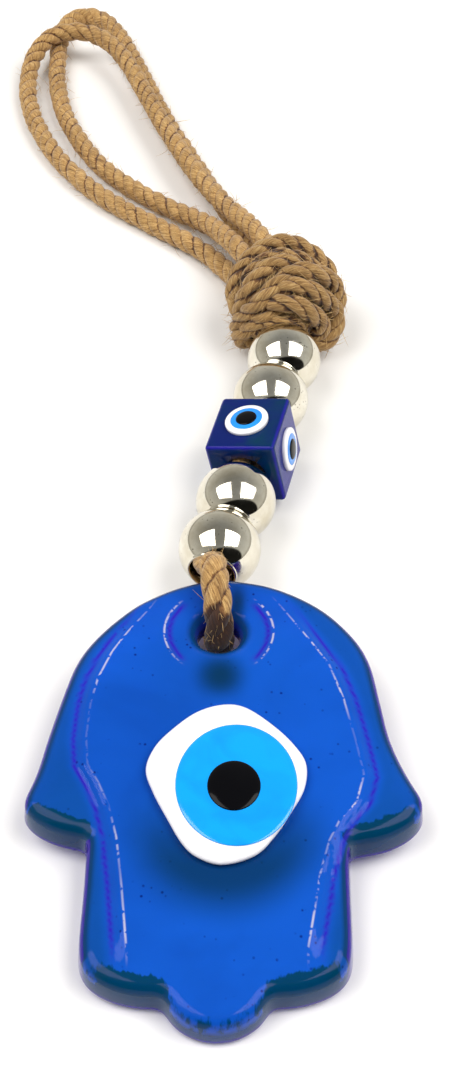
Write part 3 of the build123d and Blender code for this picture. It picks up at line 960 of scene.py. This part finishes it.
def face_points(rim, hole_ring, spacing):
    """A sheet of triangles between the rim and the hole's ring."""
    low, high = rim.min(axis=0), rim.max(axis=0)
    rows = np.arange(low[1], high[1], spacing * 0.87)
    grid = np.array([(x + (row % 2) * spacing / 2, y) for row, y in enumerate(rows)
                     for x in np.arange(low[0], high[0], spacing)])
    grid = grid[inside(grid, inset(rim, 0.6 * spacing))]
    hole_size = HOLE_RADIUS + HOLE_ROUND
    grid = grid[from_hole(grid)[0] > hole_size + 0.6 * spacing]
    points = np.vstack([rim, hole_ring, grid])
    edges = [(k, (k + 1) % len(rim)) for k in range(len(rim))]
    first = len(rim)
    edges += [(first + k, first + (k + 1) % len(hole_ring)) for k in range(len(hole_ring))]
    flat, _, faces, _, _, _ = delaunay_2d_cdt([Vector(p) for p in points], edges, [], 0, 1e-6)
    flat = np.array([v[:] for v in flat])
    middles = np.array([flat[list(face)].mean(axis=0) for face in faces])
    kept = inside(middles, rim) & (from_hole(middles)[0] > hole_size * 0.999)
    return flat, [tuple(face) for face, keep in zip(faces, kept) if keep]


def rounded_wall(line_at, top, front, back, draft, steps):
    """Rings of points down a wall with a rounded edge at each end. line_at gives the wall's line moved
    into the glass's face by a distance, and front and back are the edges' radii."""
    rings = []
    for bend in np.radians(np.linspace(0, 90, steps[0])):
        height = top - front * (1 - cos(bend))
        rings.append(np.column_stack([line_at(draft + front * (1 - sin(bend))), height]))
    for bend in np.radians(np.linspace(90, 0, steps[1])):
        height = np.full(len(top), back * (1 - cos(bend)))
        rings.append(np.column_stack([line_at(back * (1 - sin(bend))), height]))
    faces = []
    for ring in range(len(rings) - 1):
        faces += band((ring + 1) * len(top), ring * len(top), len(top))
    return np.vstack(rings), faces


def glass_hand():
    """The moulded plate: face with its raised palm, rounded wall, flat back and rounded hole."""
    outline = hand_outline()
    turns = np.linspace(0, 2 * pi, 96, endpoint=False)
    circle = np.column_stack([np.cos(turns), np.sin(turns)])

    def rim_at(distance):
        return inset(outline, distance)

    def bore_at(distance):
        return HOLE_CENTRE + circle * (HOLE_RADIUS + distance)

    rim, mouth = rim_at(FRONT_ROUND + WALL_DRAFT), bore_at(HOLE_ROUND)
    face, face_triangles = face_points(rim, mouth, 0.8)
    back, back_triangles = face_points(rim_at(BACK_ROUND), mouth, 4.0)
    points, faces = joined([
        (np.column_stack([face, front_height(face)]), face_triangles),
        (np.column_stack([back, np.zeros(len(back))]), back_triangles),
        rounded_wall(rim_at, front_height(rim), FRONT_ROUND, BACK_ROUND, WALL_DRAFT, (9, 6)),
        rounded_wall(bore_at, front_height(mouth), HOLE_ROUND, HOLE_ROUND, 0, (9, 7)),
    ])
    piece = mesh_piece("hand_glass", HAND_ORIGIN + (points * MM) @ HAND_AXES, faces, blue_glass,
                       attributes=hand_paint(points, outline))
    weld(piece)
    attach(piece, "hand")
    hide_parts("glass_hand")


def hand_paint(points, outline):
    """The glass's painted light and shade at each point: creases, walls, shadows and highlights, as
    moulded_zones, brinks and step_highlights take it."""
    flat = points[:, :2]
    on_face = smooth_step(6.5, 8.6, points[:, 2])
    depth, strength = palm_step(flat)
    away, sideways = from_hole(flat)
    beside = smooth_step(0.62, 0.80, sideways) * on_face
    # painted violet line in the palm step's crease and in the dish's
    crease = strength * on_face * np.exp(-((depth + STEP_HALF_WIDTH * 1.2) / 0.42) ** 2)
    crease = np.maximum(crease, beside * np.exp(-((away - DISH_RADIUS + 1.0) / 0.5) ** 2))
    from_rim, facing = nearest_rim(flat, outline)
    near_wall = smooth_step(-0.25, -0.6, facing)
    # how far down the wall: painted teal shade, then a painted violet edge
    down = front_height(flat) - points[:, 2]
    down = np.clip((down - 3.2 * near_wall) / (1.6 + 5.0 * near_wall), 0, 1)
    down = np.where(from_rim < away - HOLE_RADIUS, down, 0.5 * down)
    sides = np.abs(flat[:, 0])
    corner = np.where(flat[:, 1] < 25, (sides - 16.5) / 6.5, (sides - 33.0) / 7.0)
    # painted teal shade over the walls that face the foot
    foot = smooth_step(6.5, 0.5, from_rim) * near_wall * (0.35 + 0.65 * np.exp(-(corner**4)))
    lines = np.maximum(strength * (np.abs(depth) < 3), beside * (np.abs(away - DISH_RADIUS) < 3))
    return {
        # Z is the painted shadows in the glass
        "zone": np.column_stack([crease, down, on_face * painted_glass_shadows(flat)]),
        "brink": np.column_stack([foot, smooth_step(-1.0, -4.0, depth) * on_face, 0 * foot]),
        "crest": np.column_stack([
            0.5 + (depth - 1.5) / 40, 0.5 + (away - DISH_RADIUS - 0.2) / 40, lines * on_face,
        ]),
    }


def nearest_rim(points, outline):
    """Each point's distance to the outline, and how much the rim there faces the arch, -1 to 1."""
    ahead = unit(np.roll(outline, -1, axis=0) - np.roll(outline, 1, axis=0))
    distance, facing = [], []
    for part in np.array_split(points, 40):
        away = np.linalg.norm(part[:, None] - outline[None], axis=2)
        nearest = away.argmin(axis=1)
        distance.append(away[np.arange(len(part)), nearest])
        facing.append(-ahead[nearest, 0])
    return np.concatenate(distance), np.concatenate(facing)


def painted_glass_shadows(points):
    """Painted shadows in the glass: soft dark patches below the eye, below the hole and beside the rope."""
    def patch(middle, radii):
        return np.exp(-(((points - middle) / radii) ** 2).sum(axis=1) ** 1.5)

    below_eye = points - EYE_CENTRE
    reach = np.linalg.norm((below_eye + [0, 5.5]) / [20.5, 23.0], axis=1)
    eye_shadow = 0.9 * (1 - smooth_step(0.70, 1.22, reach)) * smooth_step(4, -20, below_eye[:, 1])
    hole_shadow = patch([0.4, 80.6], [5.2, 5.4])
    rope_shadow = 0.9 * patch([4.3, 101.5], [1.8, 4.5])
    return np.clip(hole_shadow + rope_shadow + eye_shadow, 0, 1)


def weld(piece):
    """Joins the sheets of a mesh where their edges meet, and turns every face outwards."""
    shape = bmesh.new()
    shape.from_mesh(piece.data)
    bmesh.ops.remove_doubles(shape, verts=shape.verts, dist=2e-6)
    bmesh.ops.recalc_face_normals(shape, faces=shape.faces)
    shape.to_mesh(piece.data)
    shape.free()


# ---------------------------------------------------------------- fused glass eyes
EYE_CENTRE = (1.8, 52.1)
IRIS_CENTRE, IRIS_RADII = (3.9, 51.5), (12.8, 14.6)
PUPIL_CENTRE, PUPIL_RADII = (3.4, 50.8), (5.6, 6.0)
# share of the outline's size, and height over the palm in millimetres, from the rim to the middle
EYE_PROFILE = [
    (0.94, -0.3), (0.975, 0.25), (0.995, 0.8), (1.0, 1.25), (0.992, 1.7), (0.97, 2.05), (0.93, 2.28),
    (0.86, 2.4), (0.7, 2.5), (0.5, 2.58), (0.25, 2.62), (0, 2.64),
]
IRIS_PROFILE = [
    (0.97, 2.3), (0.998, 2.5), (1.0, 2.56), (0.985, 2.66), (0.95, 2.74), (0.85, 2.84), (0.65, 2.94),
    (0.4, 3.0), (0, 3.03),
]
PUPIL_PROFILE = [
    (0.97, 2.8), (1.0, 3.0), (0.985, 3.12), (0.94, 3.24), (0.84, 3.36), (0.65, 3.46), (0.35, 3.54), (0, 3.56),
]


def lozenge():
    """The eye's outline about its centre: a poured rhombus with soft, uneven corners, millimetres."""
    corners = [
        (-17.1, 3.4), (-15.6, 8.6), (-12.2, 13.0), (-6.6, 17.8), (-0.7, 19.8), (4.4, 18.9), (10.6, 14.0),
        (14.9, 9.0), (17.0, 4.6), (16.4, -1.2), (13.5, -6.8), (10.1, -12.2), (6.0, -16.6), (-0.7, -18.7),
        (-6.0, -17.0), (-9.2, -13.8), (-12.2, -8.4), (-15.4, -2.0),
    ]
    return spaced(plane_line(corners[::-1], closed=True), 0.8)


def ellipse(radii, count=96):
    turns = np.linspace(0, 2 * pi, count, endpoint=False)
    return np.column_stack([radii[0] * np.cos(turns), radii[1] * np.sin(turns)])


def dome(name, outline, profile, place, material):
    """A closed cushion of glass: rings of the outline that shrink and rise to its crown. place turns
    an array of points, millimetres, into the model's frame."""
    count, rings = len(outline), len(profile) - 1
    points = [np.column_stack([outline * share, np.full(count, height)]) for share, height in profile[:-1]]
    points = np.vstack(points + [[(0, 0, profile[-1][1])], [(0, 0, profile[0][1])]])
    faces = []
    for ring in range(rings - 1):
        faces += band(ring * count, (ring + 1) * count, count)
    crown, root = rings * count, rings * count + 1
    last = (rings - 1) * count
    faces += [(last + k, last + (k + 1) % count, crown) for k in range(count)]
    faces += [((k + 1) % count, k, root) for k in range(count)]
    return mesh_piece(name, place(points), faces, material)


def hand_eye():
    layers = (
        ("eye_white", lozenge(), EYE_PROFILE, EYE_CENTRE, white_glass, "white_glass"),
        ("eye_iris", ellipse(IRIS_RADII), IRIS_PROFILE, IRIS_CENTRE, sky_glass, "sky_blue_glass"),
        ("eye_pupil", ellipse(PUPIL_RADII), PUPIL_PROFILE, PUPIL_CENTRE, black_glass, "black_glass"),
    )
    for node, outline, profile, centre, material, slot in layers:
        start = np.array([centre[0], centre[1], PLATE_HEIGHT + STEP_HEIGHT])
        piece = dome(f"{node}_dome", outline, profile,
                     lambda points: HAND_ORIGIN + ((points + start) * MM) @ HAND_AXES, material)
        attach(piece, "hand")
        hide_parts(node)


# ---------------------------------------------------------------- beads
BEAD_HOLE_RADIUS = 5.4
# one end's rolled rim: distance along the hole and radius, millimetres
BEAD_RIM = [
    (7.72, 6.36), (7.84, 6.16), (7.98, 6.14), (8.14, 6.04), (8.25, 5.84), (8.22, 5.62), (8.06, 5.47),
    (7.8, BEAD_HOLE_RADIUS),
]


def lathe(name, section, centre, material, around=96):
    """A closed ring of revolution about the string's line."""
    turns = np.linspace(0, 2 * pi, around, endpoint=False)
    outward = np.outer(np.cos(turns), STRING_SIDE) + np.outer(np.sin(turns), STRING_UP)
    rings = [centre + STRING_DIRECTION * along * MM + outward * radius * MM for along, radius in section]
    faces = []
    for ring in range(len(rings)):
        faces += band(ring * around, (ring + 1) % len(rings) * around, around)
    return mesh_piece(name, np.vstack(rings), faces, material)


def silver_beads():
    ball_places = 7.6 * np.cos(np.linspace(0, pi, 41))
    ball_side = [(along, sqrt((BEAD_RADIUS / MM) ** 2 - along**2)) for along in ball_places]
    lower_rim = [(-along, radius) for along, radius in BEAD_RIM]
    bore = [(along, BEAD_HOLE_RADIUS) for along in (-5, 0, 5)]
    section = ball_side + lower_rim + bore + BEAD_RIM[::-1]
    for number, place in enumerate(BEAD_PLACES, 1):
        node = f"silver_bead_{number}"
        bead = lathe(f"{node}_plated", section, string_point(place), silver)
        weld(bead)
        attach(bead, node)
        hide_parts(node)


CUBE_LENGTH = 20.0
CUBE_EDGE_ROUND = 1.2
CUBE_HOLE_RADIUS = 5.65
CUBE_SIDES = {"top": 0, "right": 90, "bottom": 180, "left": 270}
# each layer's radius, and its profile as for the palm's eye
CUBE_EYE = {
    "white": (5.6, [
        (0.96, -0.15), (1.0, 0.1), (1.0, 0.7), (0.985, 0.9), (0.93, 1.03), (0.8, 1.09), (0, 1.12),
    ]),
    "blue": (4.15, [(0.96, 0.9), (1.0, 1.06), (0.98, 1.16), (0.9, 1.22), (0.7, 1.27), (0.4, 1.3), (0, 1.31)]),
    "pupil": (2.7, [
        (0.96, 1.15), (1.0, 1.28), (0.96, 1.42), (0.85, 1.54), (0.6, 1.64), (0.3, 1.69), (0, 1.7),
    ]),
}


def cube_axes(turn):
    """Outward and sideways directions of the cube's side at that turn about the string."""
    left = -STRING_SIDE * cos(CUBE_ROLL) - STRING_UP * sin(CUBE_ROLL)
    upward = np.cross(STRING_DIRECTION, left)
    angle = radians(turn)
    outward = upward * cos(angle) - left * sin(angle)
    return outward, np.cross(outward, STRING_DIRECTION)


def cube_drill():
    """A cylinder along Z, longer than the cube, that cuts the hole."""
    sides, reach = 64, CUBE_LENGTH * MM
    ring = ellipse((CUBE_HOLE_RADIUS * MM, CUBE_HOLE_RADIUS * MM), sides)
    vertices = [(x, y, z) for z in (-reach, reach) for x, y in ring]
    faces = band(0, sides, sides) + [tuple(reversed(range(sides))), tuple(range(sides, 2 * sides))]
    return mesh_piece("cube_drill", vertices, faces, cube_glass)


def cube_blank():
    """The cube about the origin, its hole's line along Z, with soft edges."""
    shape = bmesh.new()
    bmesh.ops.create_cube(shape, size=1)
    for vertex in shape.verts:
        vertex.co = (vertex.co.x * CUBE_WIDTH, vertex.co.y * CUBE_WIDTH, vertex.co.z * CUBE_LENGTH * MM)
    bmesh.ops.bevel(shape, geom=shape.edges[:] + shape.verts[:], offset=CUBE_EDGE_ROUND * MM, segments=6,
                    profile=0.5, affect="EDGES")
    mesh = bpy.data.meshes.new("cube_bead_blank")
    shape.to_mesh(mesh)
    shape.free()
    mesh.polygons.foreach_set("use_smooth", [True] * len(mesh.polygons))
    blank = bpy.data.objects.new("cube_bead_blank", mesh)
    bpy.context.scene.collection.objects.link(blank)
    return blank


def cube_painted_light(solid):
    """Painted light on the cube: violet along its edges and over its right side."""
    places = np.array([v.co[:] for v in solid.vertices])
    halves = np.array([CUBE_WIDTH, CUBE_WIDTH, CUBE_LENGTH * MM]) / 2
    rounding = np.clip((np.abs(places) - halves) / (CUBE_EDGE_ROUND * MM) + 1, 0, 1)
    # painted light: violet along the rounded edges, and over the right side
    edges = 0.55 * smooth_step(0.3, 0.68, np.sort(rounding, axis=1)[:, 1])
    edges = np.maximum(edges, 0.3 * (places[:, 0] < -halves[0] * 0.999))
    return np.column_stack([edges, 0 * edges, 0 * edges]).astype(np.float32)


def cube_bead():
    """The square glass bead with soft edges and its round hole."""
    drill, blank = cube_drill(), cube_blank()
    cut = blank.modifiers.new("hole", "BOOLEAN")
    cut.object = drill
    cut.operation = "DIFFERENCE"
    cut.solver = "EXACT"
    even = blank.modifiers.new("shading", "WEIGHTED_NORMAL")
    even.weight = 100
    solid = bpy.data.meshes.new_from_object(blank.evaluated_get(bpy.context.evaluated_depsgraph_get()))
    bpy.data.objects.remove(blank)
    bpy.data.objects.remove(drill)
    solid.materials.clear()
    solid.materials.append(cube_glass)
    layer = solid.attributes.new("zone", "FLOAT_VECTOR", "POINT")
    layer.data.foreach_set("vector", cube_painted_light(solid).ravel())
    outward, sideways = cube_axes(0)
    turn = Matrix((sideways, outward, STRING_DIRECTION)).transposed().to_4x4()
    solid.transform(Matrix.Translation(string_point(CUBE_PLACE)) @ turn)
    cube = bpy.data.objects.new("cube_bead_glass", solid)
    bpy.context.scene.collection.objects.link(cube)
    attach(cube, "cube_bead")
    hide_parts("cube_bead")


def cube_eyes():
    kinds = {"white": (white_glass, "white_glass"), "blue": (cube_blue, "sky_blue_glass"),
             "pupil": (black_glass, "black_glass")}
    for side, turn in CUBE_SIDES.items():
        outward, sideways = cube_axes(turn)
        root = string_point(CUBE_PLACE) + outward * CUBE_WIDTH / 2
        axes = np.array([sideways, -STRING_DIRECTION, outward])
        for layer, (radius, profile) in CUBE_EYE.items():
            material, slot = kinds[layer]
            piece = dome(f"cube_eye_{side}_{layer}_dome", ellipse((radius, radius), 64), profile,
                         lambda points: root + (points * MM) @ axes, material)
            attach(piece, "cube_bead")
            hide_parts(f"cube_eye_{side}_{layer}")


glass_hand()
hand_eye()
silver_beads()
cube_bead()
cube_eyes()
bead_ropes()
web_rope()
knot_rope()
